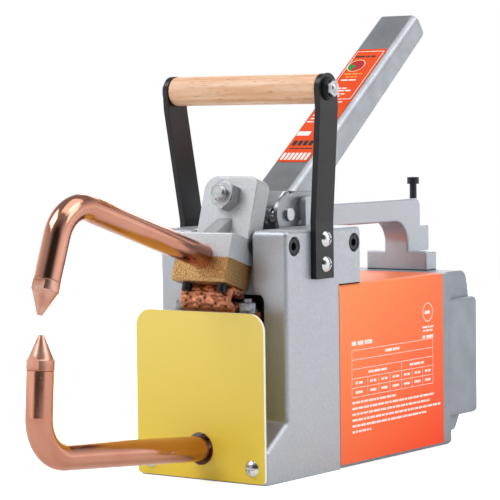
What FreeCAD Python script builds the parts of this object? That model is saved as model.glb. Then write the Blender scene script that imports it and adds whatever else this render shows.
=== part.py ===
"""Hand-held spot welder: a transformer body with two copper tongs, a clamping lever and a carry handle.

Frame: +Z up, +X to the machine's right-hand side as seen from behind the tongs, the tongs point to -Y.
The origin is the centre of the footprint on the bottom face.  All lengths are in millimetres.
Stations along the length are distances behind the front face of the insulating plate.
"""
import FreeCAD
import Part
import math
import os

Vec = FreeCAD.Vector

# ---- driving dimensions -------------------------------------------------------------------------
FRONT_Y = -110.0            # front face of the insulating plate
BODY_W = 100.0              # housing, case and rear cover share this width
HALF_W = BODY_W / 2
CASE_H = 118.5              # top of the transformer case
HEAD_H = 156.0              # top of the cast front housing
CASE_START = 82.6           # station where the case meets the front housing
HEAD_END = 109.5            # station of the housing's rear overhang
CASE_END = 217.5            # station where the case meets the rear cover
LABEL_END = 208.9
SHEET = 1.5                 # case sheet thickness
CAVITY_HALF = 43.0          # inside half width of the front housing
SLOT_HALF = 22.6            # rocker slot in the housing head
LEVER_SLOT_HALF = 17.2      # narrower slot for the lever ears
SLOT_BACK = 62.0
LEVER_SLOT_BACK = 97.0

TONG_R = 8.0                # tongs are 16 mm copper bar
BEND_R = 24.0               # centreline radius of both tong bends
CLAMP_SCREW_X = 14.0        # screws of the lower tong's clamp
CLAMP_SCREW_D = (44.0, 56.0)
TIP_LEN = 20.6
TIP_R = 8.2
TIP_POINT_R = 1.6

ROCKER_TILT = 17.5          # the rocker and the upper tong stand this far open
ROCKER_HALF = 20.8
ROCKER_DEPTH = 31.8         # height of the clamp block across the tong
PIVOT = (34.2, 146.0)       # rocker pivot, station and height
ROCKER_ORIGIN = (4.45, 140.5)
EAR_FRONT = 16.8            # ear plate, distance behind the clamp block's front face
EAR_BACK = 30.0
EAR_TOP = 56.8              # ear plate's top edge above the tong axis
RIB_TOP = 29.1              # top of the gusset rib in front of the ear
RIB_HALF = 5.2
SCREW_V = 42.8              # adjusting screw's height above the tong axis
SCREW_R = 5.0
SCREW_FRONT = 3.9           # its front end, behind the clamp block's face
COLLAR_S = 40.6             # back of the spring collar on it
EYE_S = 46.0                # toggle eye at its back end

FULCRUM = (78.5, 163.7)     # lever pivot, station and height
LEVER_TILT = 37.5
LEVER_HALF = 16.0
LEVER_SHEET = 2.0
LEVER_LEN = 203.0
WEB_TOP = 11.5              # outer face of the lever's web above the pivot line
LINK_PIN = (70.85, 161.36)  # toggle link's pin in the lever fork
PIN_R = 2.5
FULCRUM_R = 3.0

GRIP_HALF = 10.0
GRIP_TOP = 168.5
GRIP_UNDER = 153.0
FOOT_TOP = 131.4
FOOT_BASE = 119.1
STOP_D = 251.6              # stop screw's station
CROSS_SCREW = (101.0, 145.3)

HANDLE = (55.5, 244.0)      # wooden handle's axis
STRAP_T = 4.0
STRAP_W = 19.8
STRAP_TOP_IN = 58.0         # inner face of the straps at the handle
LOWER_SLOPE = 4.8           # the lower tong runs down towards the back by this angle
LOWER_ENTRY = 19.8          # height of its centreline just behind the insulating plate
BUSH_R = 11.0               # insulating bush round it in the housing's foot

os.makedirs("parts", exist_ok=True)
X_AXIS = Vec(1, 0, 0)
Z_AXIS = Vec(0, 0, 1)


# ---- helpers ------------------------------------------------------------------------------------
def save(name, *shapes):
    """Write one node; several solids become one group."""
    solids = [s for shape in shapes for s in shape.Solids]
    shape = solids[0] if len(solids) == 1 else Part.makeCompound(solids)
    for s in solids:
        if not s.isValid():
            print("invalid solid in", name)
    shape.exportStep("parts/" + name + ".step")
    b = shape.optimalBoundingBox(True, False)
    print("%-20s %2d solids  X %.1f %.1f  Y %.1f %.1f  Z %.1f %.1f  %.0f mm3" % (
        name, len(solids), b.XMin, b.XMax, b.YMin, b.YMax, b.ZMin, b.ZMax, shape.Volume))


def at(x, station, z):
    return Vec(x, FRONT_Y + station, z)


def box(x0, x1, d0, d1, z0, z1):
    return Part.makeBox(x1 - x0, d1 - d0, z1 - z0, at(x0, d0, z0))


def bar(start, end, radius):
    """A round bar from one point to another."""
    run = end - start
    return Part.makeCylinder(radius, run.Length, start, run)


def cross_bar(half, place, radius):
    """A round bar along X, centred on the machine, at a station and height."""
    return bar(at(-half, *place), at(half, *place), radius)


def rounded_wire(corners):
    """Closed wire through (point, corner radius) pairs, with tangent arcs at the rounded corners."""
    count = len(corners)
    starts, ends, edges = [], [], []
    for i, (p, r) in enumerate(corners):
        before = (corners[i - 1][0] - p).normalize()
        after = (corners[(i + 1) % count][0] - p).normalize()
        if r == 0:
            starts.append(p)
            ends.append(p)
            continue
        half = before.getAngle(after) / 2
        trim = r / math.tan(half)
        centre = p + (before + after).normalize() * (r / math.sin(half))
        middle = centre + (p - centre).normalize() * r
        starts.append(p + before * trim)
        ends.append(p + after * trim)
        edges.append((i, Part.Arc(starts[i], middle, ends[i]).toShape()))
    arcs = dict(edges)
    chain = []
    for i in range(count):
        if i in arcs:
            chain.append(arcs[i])
        following = starts[(i + 1) % count]
        if (following - ends[i]).Length > 1e-6:
            chain.append(Part.LineSegment(ends[i], following).toShape())
    return Part.Wire(chain)


def side_plate(outline, x0, x1):
    """Extrude a side outline of (station, height, corner radius) along X."""
    wire = rounded_wire([(at(x0, d, z), r) for d, z, r in outline])
    return Part.Face(wire).extrude(Vec(x1 - x0, 0, 0))


def front_plate(outline, d0, d1):
    """Extrude a front outline of (x, height, corner radius) along Y."""
    wire = rounded_wire([(at(x, d0, z), r) for x, z, r in outline])
    return Part.Face(wire).extrude(Vec(0, d1 - d0, 0))


def flat_plate(outline, z0, z1):
    """Extrude a plan outline of (x, station, corner radius) upwards."""
    wire = rounded_wire([(at(x, d, z0), r) for x, d, r in outline])
    return Part.Face(wire).extrude(Vec(0, 0, z1 - z0))


def hex_bar(start, direction, across_flats, length):
    """A hexagonal bar, its flats' distance given, with lightly chamfered ends."""
    radius = across_flats / 2 / math.cos(math.pi / 6)
    points = [Vec(radius * math.cos(k * math.pi / 3), radius * math.sin(k * math.pi / 3), 0) for k in range(7)]
    prism = Part.Face(Part.makePolygon(points)).extrude(Vec(0, 0, length))
    cone_h = radius * 0.55
    top = Part.makeCone(radius * 1.02, radius * 1.02 - cone_h / math.tan(math.radians(30)), cone_h,
                        Vec(0, 0, length - 0.06 * across_flats), Z_AXIS)
    dome = Part.makeCylinder(radius * 1.02, length - 0.06 * across_flats).fuse(top)
    shape = prism.common(dome)
    shape.Placement = FreeCAD.Placement(start, FreeCAD.Rotation(Z_AXIS, direction))
    return shape


def hex_socket(start, direction, across_flats, depth):
    radius = across_flats / 2 / math.cos(math.pi / 6)
    points = [Vec(radius * math.cos(k * math.pi / 3), radius * math.sin(k * math.pi / 3), 0) for k in range(7)]
    prism = Part.Face(Part.makePolygon(points)).extrude(Vec(0, 0, depth))
    prism.Placement = FreeCAD.Placement(start, FreeCAD.Rotation(Z_AXIS, direction))
    return prism


def ring(centre, direction, outer, inner, thickness):
    """A washer or sleeve that starts at centre and runs along direction."""
    blank = Part.makeCylinder(outer, thickness, centre, direction)
    return blank.cut(Part.makeCylinder(inner, thickness, centre, direction))


def socket_screw(head_top, inward, size, head_r, head_h, length):
    """Socket-head cap screw: head_top is the head's outer face, inward points down the shank."""
    inward = Vec(inward).normalize()
    head = Part.makeCylinder(head_r, head_h, head_top, inward)
    head = head.makeFillet(0.5, [e for e in head.Edges if (e.BoundBox.Center - head_top).Length < 0.01])
    shank = Part.makeCylinder(size / 2, head_h + length, head_top, inward)
    return head.fuse(shank).cut(hex_socket(head_top, inward, size * 0.82, head_h * 0.55))


def pan_screw(seat, outward, size, head_r, head_h, length):
    """Pan-head cross-recess screw: seat is the point under the head."""
    outward = Vec(outward).normalize()
    rise = head_h
    sphere_r = (head_r ** 2 + rise ** 2) / (2 * rise)
    ball = Part.makeSphere(sphere_r, seat - outward * (sphere_r - rise))
    head = ball.common(Part.makeCylinder(head_r, rise * 1.2, seat, outward))
    shank = Part.makeCylinder(size / 2, length + 0.2, seat + outward * 0.2, outward * -1)
    screw = head.fuse(shank)
    for turn in (0, 90):
        arm = Part.makeBox(head_r * 1.15, head_r * 0.24, rise, Vec(-head_r * 0.575, -head_r * 0.12, rise * 0.45))
        arm.rotate(Vec(), Z_AXIS, turn)
        arm.Placement = FreeCAD.Placement(seat, FreeCAD.Rotation(Z_AXIS, outward)).multiply(arm.Placement)
        screw = screw.cut(arm)
    return screw


def tilted(shape, place, angle):
    """Turn a shape made about the origin by angle about X, then move it to a station and height."""
    shape.rotate(Vec(), X_AXIS, angle)
    shape.translate(at(0, *place))
    return shape


def local_plate(outline, x0, x1):
    """Like side_plate, in a tilted sub-assembly's own (along, across) coordinates."""
    wire = rounded_wire([(Vec(x0, a, b), r) for a, b, r in outline])
    return Part.Face(wire).extrude(Vec(x1 - x0, 0, 0))


def rocker_point(s, v):
    """Station and height of a point s behind the clamp block's face and v above the tong axis."""
    c, k = math.cos(math.radians(ROCKER_TILT)), math.sin(math.radians(ROCKER_TILT))
    return (ROCKER_ORIGIN[0] + s * c + v * k, ROCKER_ORIGIN[1] - s * k + v * c)


def place_rocker(shape):
    return tilted(shape, ROCKER_ORIGIN, -ROCKER_TILT)


def place_lever(shape):
    return tilted(shape, FULCRUM, LEVER_TILT)


def along_lower_tong(station):
    """Point on the lower tong's centreline at a station."""
    return at(0, station, LOWER_ENTRY - (station - 1) * math.tan(math.radians(LOWER_SLOPE)))


def spring(radius, wire, pitch, turns, start, direction):
    """Helical spring of round wire about the line from start along direction."""
    helix = Part.makeHelix(pitch, pitch * turns, radius)
    circle = Part.makeCircle(wire / 2, Vec(radius, 0, 0), Vec(0, 1, 0))
    coil = Part.Wire(helix.Edges).makePipeShell([Part.Wire(circle)], True, True)
    coil.Placement = FreeCAD.Placement(start, FreeCAD.Rotation(Z_AXIS, direction))
    return coil


def bent_bar(start, corner, end, radius, bend_radius):
    """Round bar along start-corner-end with a tangent bend, as one solid."""
    first = (corner - start).normalize()
    second = (end - corner).normalize()
    turn = first.getAngle(second)
    trim = bend_radius * math.tan(turn / 2)
    bend_in = corner - first * trim
    bend_out = corner + second * trim
    axis = first.cross(second).normalize()
    centre = bend_in + (second - first * second.dot(first)).normalize() * bend_radius
    disc = Part.Face(Part.Wire(Part.makeCircle(radius, bend_in, first)))
    elbow = disc.revolve(centre, axis, math.degrees(turn))
    return bar(start, bend_in, radius).fuse([elbow, bar(bend_out, end, radius)]).removeSplitter()


def electrode_tip(base, direction):
    """Welding tip: a short spanner-flatted collar and a blunt cone."""
    collar = 6.2
    profile = [Vec(0, 0, 0), Vec(TIP_R - 0.5, 0, 0), Vec(TIP_R, 0, 0.5), Vec(TIP_R, 0, collar),
               Vec(TIP_R - 0.6, 0, collar + 0.6), Vec(TIP_POINT_R, 0, TIP_LEN), Vec(0, 0, TIP_LEN), Vec(0, 0, 0)]
    tip = Part.Face(Part.makePolygon(profile)).revolve(Vec(), Z_AXIS, 360)
    flats = Part.makeBox(4 * TIP_R, 13.6, collar + 1.5, Vec(-2 * TIP_R, -6.8, 1.2))
    blank = Part.makeBox(4 * TIP_R, 4 * TIP_R, TIP_LEN, Vec(-2 * TIP_R, -2 * TIP_R, collar + 2.7))
    root = Part.makeBox(4 * TIP_R, 4 * TIP_R, 1.2, Vec(-2 * TIP_R, -2 * TIP_R, 0))
    tip = tip.common(flats.fuse([blank, root]))
    tip.Placement = FreeCAD.Placement(base, FreeCAD.Rotation(Z_AXIS, direction))
    return tip


# ---- front housing ------------------------------------------------------------------------------
def front_housing():
    body = side_plate([(2, 0, 0), (2, 20, 3), (25.4, 37, 4), (25.4, HEAD_H, 4), (HEAD_END, HEAD_H, 4),
                       (HEAD_END, 119.4, 0), (CASE_START, 119.4, 0), (CASE_START, 0, 0)], -HALF_W, HALF_W)
    rim = [e for e in body.Edges
           if min(abs(e.BoundBox.XMin - s * HALF_W) + abs(e.BoundBox.XMax - s * HALF_W) for s in (-1, 1)) < 0.01
           and e.BoundBox.ZMax > 20 and not (e.BoundBox.YMin > FRONT_Y + CASE_START - 0.1 and e.BoundBox.ZMax < 119.5)
           and not e.BoundBox.ZMin == e.BoundBox.ZMax == 119.4]
    body = body.makeFillet(3.0, rim)
    for s in (-1, 1):
        lug = side_plate([(88.5, 150, 0), (88.5, 175, 3), (108.5, 175, 3), (108.5, 150, 0)],
                         s * 18.7 - 2.1, s * 18.7 + 2.1)
        body = body.fuse(lug)
    cavity = side_plate([(10, 3, 0), (10, 16.5, 2), (34, 34, 2), (34, 112, 6), (90, 112, 0), (90, 3, 0)],
                        -CAVITY_HALF, CAVITY_HALF)
    opening = front_plate([(-32.4, 39, 6), (32.4, 39, 6), (32.4, 116, 5), (-32.4, 116, 5)], 20, 40)
    slot = flat_plate([(-SLOT_HALF, 10, 0), (SLOT_HALF, 10, 0), (SLOT_HALF, SLOT_BACK, 4), (-SLOT_HALF, SLOT_BACK, 4)],
                      105, HEAD_H + 5)
    ears = box(-LEVER_SLOT_HALF, LEVER_SLOT_HALF, 55, LEVER_SLOT_BACK, 145, HEAD_H + 5)
    tenon_pocket = box(-GRIP_HALF, GRIP_HALF, 94, 108, 135, HEAD_H + 5)
    body = body.cut([cavity, opening, slot, ears, tenon_pocket])
    inner = [e for e in body.Edges if abs(abs(e.BoundBox.XMin) - SLOT_HALF) < 0.01 and
             abs(abs(e.BoundBox.XMax) - SLOT_HALF) < 0.01 and
             (e.BoundBox.ZMin > HEAD_H - 0.1 or (e.BoundBox.YMax < FRONT_Y + 25.5 and e.BoundBox.ZLength > 20))]
    body = body.makeFillet(3.0, inner)
    for place in (PIVOT, CROSS_SCREW):
        for s in (-1, 1):
            body = body.cut(bar(at(s * HALF_W, *place), at(s * 43.5, *place), 6.1))
    body = body.cut(cross_bar(60, PIVOT, 5.0))
    body = body.cut(cross_bar(60, CROSS_SCREW, 3.0))
    body = body.cut(bar(along_lower_tong(-5), along_lower_tong(45), BUSH_R))
    for s in (-1, 1):
        body = body.cut(bar(at(s * 40, 0, 10.2), at(s * 40, 14, 10.2), 2.5))
        for z in (133.5, 149.4):
            body = body.cut(bar(at(s * 60, 63.3, z), at(s * 36, 63.3, z), 2.5))
    return body


save("front_housing", front_housing())

plate = front_plate([(-50, 1, 3), (50, 1, 3), (50, 106, 11), (-50, 106, 11)], 0, 2)
plate = plate.cut(bar(along_lower_tong(-5), along_lower_tong(10), 10.2))
for side in (-1, 1):
    plate = plate.cut(bar(at(side * 40, -1, 10.2), at(side * 40, 3, 10.2), 2.5))
save("insulating_plate", plate)
save("plate_screws", *[pan_screw(at(s * 40, 0, 10.2), Vec(0, -1, 0), 5, 5.4, 2.9, 12) for s in (-1, 1)])

save("pivot_shaft", cross_bar(43.5, PIVOT, 5.0).cut(cross_bar(60, PIVOT, 3.0).cut(cross_bar(20, PIVOT, 3.0))))
side_screws = []
for side in (-1, 1):
    side_screws.append(socket_screw(at(side * 49.4, *PIVOT), Vec(-side, 0, 0), 6, 5, 5.9, 23.4))
    side_screws.append(socket_screw(at(side * 49.4, *CROSS_SCREW), Vec(-side, 0, 0), 6, 5, 5.9, 37.4))
save("side_screws", *side_screws)
save("pivot_washers", *[ring(at(s * (SLOT_HALF - 1.5), *PIVOT), Vec(s, 0, 0), 9, 5.0, 1.5) for s in (-1, 1)])


# ---- lower tong ---------------------------------------------------------------------------------
foot_outline = side_plate([(2, 0, 0), (2, 20, 3), (25.4, 37, 4), (25.4, 60, 0), (60, 60, 0), (60, 0, 0)], -20, 20)
foot_bush = bar(along_lower_tong(-10), along_lower_tong(24), BUSH_R)
foot_bush = foot_bush.common(box(-20, 20, 3, 12, 0, 60)).common(foot_outline)
save("foot_bush", foot_bush.cut(bar(along_lower_tong(-20), along_lower_tong(40), TONG_R)))

lower_tip_end = at(0, -147.2, 103.6)
leg_dir = Vec(0, math.sin(math.radians(3.9)), math.cos(math.radians(3.9)))
lower_tip_base = lower_tip_end - leg_dir * TIP_LEN
lower_corner_drop = 70.9 / leg_dir.z
lower_corner = lower_tip_end - leg_dir * lower_corner_drop
lower_inner_end = along_lower_tong(60)
lower_tong = bent_bar(lower_inner_end, lower_corner, lower_tip_base, TONG_R, BEND_R)
save("lower_tong", lower_tong)
save("lower_tip", electrode_tip(lower_tip_base, leg_dir))

clamp = box(-19, 19, 27, 62, 4.5, 28).cut(bar(along_lower_tong(20), along_lower_tong(70), TONG_R))
clamp = clamp.cut(box(0, 19, 27, 62, 16.0, 17.2))
for side in (-1, 1):
    for d in CLAMP_SCREW_D:
        clamp = clamp.cut(bar(at(side * CLAMP_SCREW_X, d, 6), at(side * CLAMP_SCREW_X, d, 30), 2.5))
save("lower_clamp", clamp)
save("clamp_insulator", box(-20, 20, 24, 66, 3, 4.5))

# ---- transformer --------------------------------------------------------------------------------
core = box(-46, 46, 100, 180, 4, 114)
for z0, z1 in ((22, 41), (77, 96)):
    core = core.cut(box(-28, 28, 95, 185, z0, z1))
save("transformer_core", core)


def winding(x0, x1):
    outer = side_plate([(83.5, 24.5, 8), (196.5, 24.5, 8), (196.5, 93.5, 8), (83.5, 93.5, 8)], x0, x1)
    inner = side_plate([(99.6, 40.6, 1), (180.4, 40.6, 1), (180.4, 77.4, 1), (99.6, 77.4, 1)], x0, x1)
    return outer.cut(inner)


save("primary_coils", winding(-27, -11), winding(11, 27))

turn = side_plate([(36, 28, 0), (194, 28, 6), (194, 90, 6), (52, 90, 0), (52, 105, 0), (44, 105, 0), (44, 82, 0),
                   (186, 82, 2), (186, 36, 2), (36, 36, 0)], -9.5, 9.5)
bus = box(-31, 31, 11, 44, 99, 105)
secondary_holes = [bar(at(s * CLAMP_SCREW_X, d, 25), at(s * CLAMP_SCREW_X, d, 40), 2.5)
                   for s in (-1, 1) for d in CLAMP_SCREW_D]
lower_pad = box(-19, 19, 38, 62, 28, 34)
turn = turn.fuse(lower_pad).removeSplitter().cut(secondary_holes)
for side in (-1, 1):
    bus = bus.cut(bar(at(side * 25, 18.5, 95), at(side * 25, 18.5, 108), 3.0))
save("secondary_bar", turn)
save("bus_plate", bus)
save("lower_clamp_screws", *[socket_screw(at(s * CLAMP_SCREW_X, d, 39), Vec(0, 0, -1), 5, 4.2, 5, 26)
                             for s in (-1, 1) for d in CLAMP_SCREW_D])

braid_bolts = []
for side in (-1, 1):
    foot = at(side * 25, 18.5, 105)
    bolt = hex_bar(foot + Vec(0, 0, 1.6), Z_AXIS, 10, 4.6).fuse(ring(foot, Z_AXIS, 6.2, 3.0, 1.6))
    bolt = bolt.fuse(bar(foot + Vec(0, 0, -6), foot + Vec(0, 0, 8.6), 3.0))
    bolt = bolt.fuse(hex_bar(foot + Vec(0, 0, -6), Vec(0, 0, -1), 10, 4))
    braid_bolts.append(bolt)
save("braid_bolts", *braid_bolts)

braid_top = [rocker_point(s, -ROCKER_DEPTH / 2 - 0.35) for s in (11.6, 25.8)]
braid = side_plate([(11, 105, 0), (27, 105, 0), (28, 110, 3), (braid_top[1][0], braid_top[1][1], 2),
                    (braid_top[0][0], braid_top[0][1], 2), (10, 111, 3)], -18, 18)
save("copper_braid", braid)

# ---- rocker -------------------------------------------------------------------------------------
HALF_DEPTH = ROCKER_DEPTH / 2


def rocker_arm():
    block = local_plate([(0, 0, 0), (0, HALF_DEPTH, 1.5), (EAR_BACK, HALF_DEPTH, 0), (EAR_BACK, 0, 0)],
                        -ROCKER_HALF, ROCKER_HALF)
    ear_wire = rounded_wire([(Vec(-ROCKER_HALF, EAR_FRONT, 5), 0), (Vec(ROCKER_HALF, EAR_FRONT, 5), 0),
                             (Vec(ROCKER_HALF, EAR_FRONT, EAR_TOP), 6.5), (Vec(-ROCKER_HALF, EAR_FRONT, EAR_TOP), 9.5)])
    ear = Part.Face(ear_wire).extrude(Vec(0, EAR_BACK - EAR_FRONT, 0))
    ear = ear.makeFillet(1.0, [e for e in ear.Edges if abs(e.BoundBox.YMax - EAR_FRONT) < 0.01 and e.BoundBox.ZMax > 6])
    rib = local_plate([(2.8, HALF_DEPTH, 0), (EAR_FRONT, RIB_TOP, 0), (EAR_FRONT + 3, RIB_TOP, 0),
                       (EAR_FRONT + 3, HALF_DEPTH - 2, 0), (2.8, HALF_DEPTH - 2, 0)], -RIB_HALF, RIB_HALF)
    back, up = pivot_local()
    boss = bar(Vec(-ROCKER_HALF, back, up), Vec(ROCKER_HALF, back, up), 10.0)
    arm = block.fuse([ear, boss, rib])
    arm = arm.cut([bar(Vec(-30, back, up), Vec(30, back, up), 5.05),
                   bar(Vec(0, -5, 0), Vec(0, 45, 0), TONG_R), bar(Vec(0, -5, SCREW_V), Vec(0, 45, SCREW_V), SCREW_R)])
    for s in (-1, 1):
        arm = arm.cut([bar(Vec(s * 14, 8, -2), Vec(s * 14, 8, 20), 3.0), bar(Vec(s * 14, 8, 9.5), Vec(s * 14, 8, 20), 5.3)])
    return arm.removeSplitter()


def pivot_local():
    """The pivot in the rocker's own coordinates."""
    dd, dz = PIVOT[0] - ROCKER_ORIGIN[0], PIVOT[1] - ROCKER_ORIGIN[1]
    c, k = math.cos(math.radians(ROCKER_TILT)), math.sin(math.radians(ROCKER_TILT))
    return dd * c - dz * k, dd * k + dz * c


save("rocker_arm", place_rocker(rocker_arm()))

brass = local_plate([(0, 0, 0), (26, 0, 0), (26, -HALF_DEPTH, 2), (0, -HALF_DEPTH, 2)], -ROCKER_HALF, ROCKER_HALF)
brass = brass.cut(bar(Vec(0, -5, 0), Vec(0, 45, 0), TONG_R))
for side in (-1, 1):
    brass = brass.cut(bar(Vec(side * 14, 8, -20), Vec(side * 14, 8, 2), 3.0))
save("brass_clamp", place_rocker(brass))
save("clamp_screws", *[place_rocker(socket_screw(Vec(s * 14, 8, 15.0), Vec(0, 0, -1), 6, 5, 5.5, 30.5))
                       for s in (-1, 1)])

upper_tip_end = at(0, -148.4, 115.0)
upper_dir = Vec(0, -math.sin(math.radians(19.8)), -math.cos(math.radians(19.8)))
upper_tip_base = upper_tip_end - upper_dir * TIP_LEN
tong_root = at(0, *rocker_point(27.0, 0))
tong_dir = (at(0, *rocker_point(-10, 0)) - at(0, *rocker_point(0, 0))).normalize()


def meet(p, a, q, b):
    """Crossing point of two lines in the machine's mid plane."""
    gap = q - p
    k = (gap.y * b.z - gap.z * b.y) / (a.y * b.z - a.z * b.y)
    return p + a * k


upper_corner = meet(tong_root, tong_dir, upper_tip_end, upper_dir)
save("upper_tong", bent_bar(tong_root, upper_corner, upper_tip_base, TONG_R, BEND_R))
save("upper_tip", electrode_tip(upper_tip_base, upper_dir))



def adjusting_screw():
    """Threaded rod with a collar for the spring and a flat-sided eye for the toggle pin."""
    rod = bar(Vec(0, SCREW_FRONT, SCREW_V), Vec(0, COLLAR_S, SCREW_V), SCREW_R)
    rod = rod.makeChamfer(1.0, [e for e in rod.Edges if abs(e.BoundBox.YMax - SCREW_FRONT) < 0.01])
    collar = bar(Vec(0, COLLAR_S - 1.9, SCREW_V), Vec(0, COLLAR_S, SCREW_V), 8.6)
    tail = Part.makeBox(6, EYE_S - COLLAR_S + 0.6, 8, Vec(-3, COLLAR_S - 0.6, SCREW_V - 4))
    eye = bar(Vec(-3, EYE_S, SCREW_V), Vec(3, EYE_S, SCREW_V), 4.6)
    body = rod.fuse([tail, eye, collar])
    return body.cut(bar(Vec(-5, EYE_S, SCREW_V), Vec(5, EYE_S, SCREW_V), PIN_R + 0.62))


save("adjusting_screw", place_rocker(adjusting_screw()))

nut = hex_bar(Vec(0, EAR_FRONT, SCREW_V), Vec(0, -1, 0), 17, 8.4).cut(bar(Vec(0, 0, SCREW_V), Vec(0, 20, SCREW_V), SCREW_R))
nut.rotate(Vec(0, 0, SCREW_V), Vec(0, 1, 0), 22)
save("lock_nut", place_rocker(nut))
coil = spring(7.4, 2.2, 2.9, 2.2, Vec(0, EAR_BACK + 1.15, SCREW_V), Vec(0, 1, 0))
save("pressure_spring", place_rocker(coil))

# ---- toggle link --------------------------------------------------------------------------------
eye_place = rocker_point(EYE_S, SCREW_V)


def link_plate(x0, x1):
    plate = bar(at(x0, *eye_place), at(x1, *eye_place), 4.0)
    plate = plate.fuse(bar(at(x0, *LINK_PIN), at(x1, *LINK_PIN), 4.0))
    run = Vec(0, LINK_PIN[0] - eye_place[0], LINK_PIN[1] - eye_place[1])
    across = Vec(0, -run.z, run.y).normalize() * 3.2
    start, end = at(x0, *eye_place), at(x0, *LINK_PIN)
    strip = Part.Face(Part.makePolygon([start + across, end + across, end - across, start - across, start + across]))
    plate = plate.fuse(strip.extrude(Vec(x1 - x0, 0, 0)))
    return plate.cut([cross_bar(20, eye_place, PIN_R), cross_bar(20, LINK_PIN, PIN_R + 0.05)])


save("toggle_links", link_plate(-5.5, -3.3), link_plate(3.3, 5.5))
save("toggle_pin", cross_bar(6.3, eye_place, PIN_R))

# ---- lever --------------------------------------------------------------------------------------
FLANGE_IN = LEVER_HALF - LEVER_SHEET
channel_side = [(9.5, WEB_TOP, 0), (LEVER_LEN, WEB_TOP, 0), (LEVER_LEN, -4.5, 3), (34.5, -8.6, 3)]
outside = local_plate(channel_side, -LEVER_HALF, LEVER_HALF)
outside = outside.makeFillet(5.0, [e for e in outside.Edges if e.BoundBox.ZMin > WEB_TOP - 0.01 and e.BoundBox.XLength < 0.01])
inside = local_plate([(0, WEB_TOP - LEVER_SHEET, 0), (250, WEB_TOP - LEVER_SHEET, 0), (250, -40, 0), (0, -40, 0)],
                     -FLANGE_IN, FLANGE_IN)
inside = inside.makeFillet(3.0, [e for e in inside.Edges
                                 if e.BoundBox.ZMin > WEB_TOP - LEVER_SHEET - 0.01 and e.BoundBox.XLength < 0.01])
save("lever_channel", place_lever(outside.cut(inside)))


def fork_plate(x0, x1):
    cheek = bar(Vec(x0, 0, 0), Vec(x1, 0, 0), 12.4)
    arm = local_plate([(-0.5, -8, 0), (11.6, -12.6, 3), (16.2, -7.6, 2), (58, -6, 3), (58, 8.6, 0), (-0.5, 8.6, 0)], x0, x1)
    crest = local_plate([(-5.5, 4, 0), (8, 4, 0), (22, 8.6, 0), (8.8, WEB_TOP - 0.2, 0), (-1.5, WEB_TOP - 0.4, 2)], x0, x1)
    return cheek.fuse([arm, crest]).removeSplitter()


def fork():
    plates = [fork_plate(-FLANGE_IN, -FLANGE_IN + 3), fork_plate(FLANGE_IN - 3, FLANGE_IN)]
    web = local_plate([(40, 6.4, 0), (56, 6.4, 0), (56, 9.4, 0), (40, 9.4, 0)], -FLANGE_IN + 2, FLANGE_IN - 2)
    body = plates[0].fuse([plates[1], web])
    body = body.common(local_channel_room())
    body = body.cut(bar(Vec(-20, 0, 0), Vec(20, 0, 0), FULCRUM_R))
    pin = lever_local(LINK_PIN)
    return body.cut(bar(Vec(-FLANGE_IN + 1.5, *pin), Vec(FLANGE_IN - 1.5, *pin), PIN_R))


def local_channel_room():
    room = local_plate([(-30, 30, 0), (9.5, 30, 0), (9.5, WEB_TOP - LEVER_SHEET, 0), (120, WEB_TOP - LEVER_SHEET, 0),
                        (120, -40, 0), (-30, -40, 0)], -FLANGE_IN, FLANGE_IN)
    corner = [e for e in room.Edges if abs(e.BoundBox.ZMin - WEB_TOP + LEVER_SHEET) < 0.01 and e.BoundBox.YLength > 50
              and e.BoundBox.XLength < 0.01]
    return room.makeFillet(3.0, corner)


def lever_local(place):
    """A station and height in the lever's own coordinates."""
    dd, dz = place[0] - FULCRUM[0], place[1] - FULCRUM[1]
    c, k = math.cos(math.radians(LEVER_TILT)), math.sin(math.radians(LEVER_TILT))
    return dd * c + dz * k, -dd * k + dz * c


save("lever_fork", place_lever(fork()))
label = Part.makeBox(24.6, 124.5, 0.2, Vec(-12.3, 39.5, WEB_TOP))
label = label.makeFillet(2.0, [e for e in label.Edges if e.BoundBox.ZLength > 0.1 and e.BoundBox.XLength < 0.01])
save("lever_label", place_lever(label))

pin_head = bar(at(14.0, *FULCRUM), at(16.4, *FULCRUM), 4.35)
pin_head = pin_head.makeFillet(0.5, [e for e in pin_head.Edges if e.BoundBox.XMin > 16.3])
fulcrum_pin = cross_bar(15.6, FULCRUM, FULCRUM_R).fuse(pin_head)
fulcrum_pin = fulcrum_pin.cut(ring(at(-15.2, *FULCRUM), Vec(1, 0, 0), 4, 2.3, 0.8))
save("fulcrum_pin", fulcrum_pin)
save("fulcrum_clip", ring(at(-15.2, *FULCRUM), Vec(1, 0, 0), 4.6, 2.3, 0.8))
save("link_pin", cross_bar(FLANGE_IN - 1.5, LINK_PIN, PIN_R))

torsion = spring(4.05, 1.4, 1.5, 2.9, at(-2.15, *FULCRUM), Vec(1, 0, 0))
leg_back = bar(at(-2.15, FULCRUM[0] + 1.0, FULCRUM[1] - 4.0), at(-2.15, 94.0, 157.5), 0.7)
save("lever_spring", torsion.fuse(leg_back))

# ---- grip bar and stop screw --------------------------------------------------------------------


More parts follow.
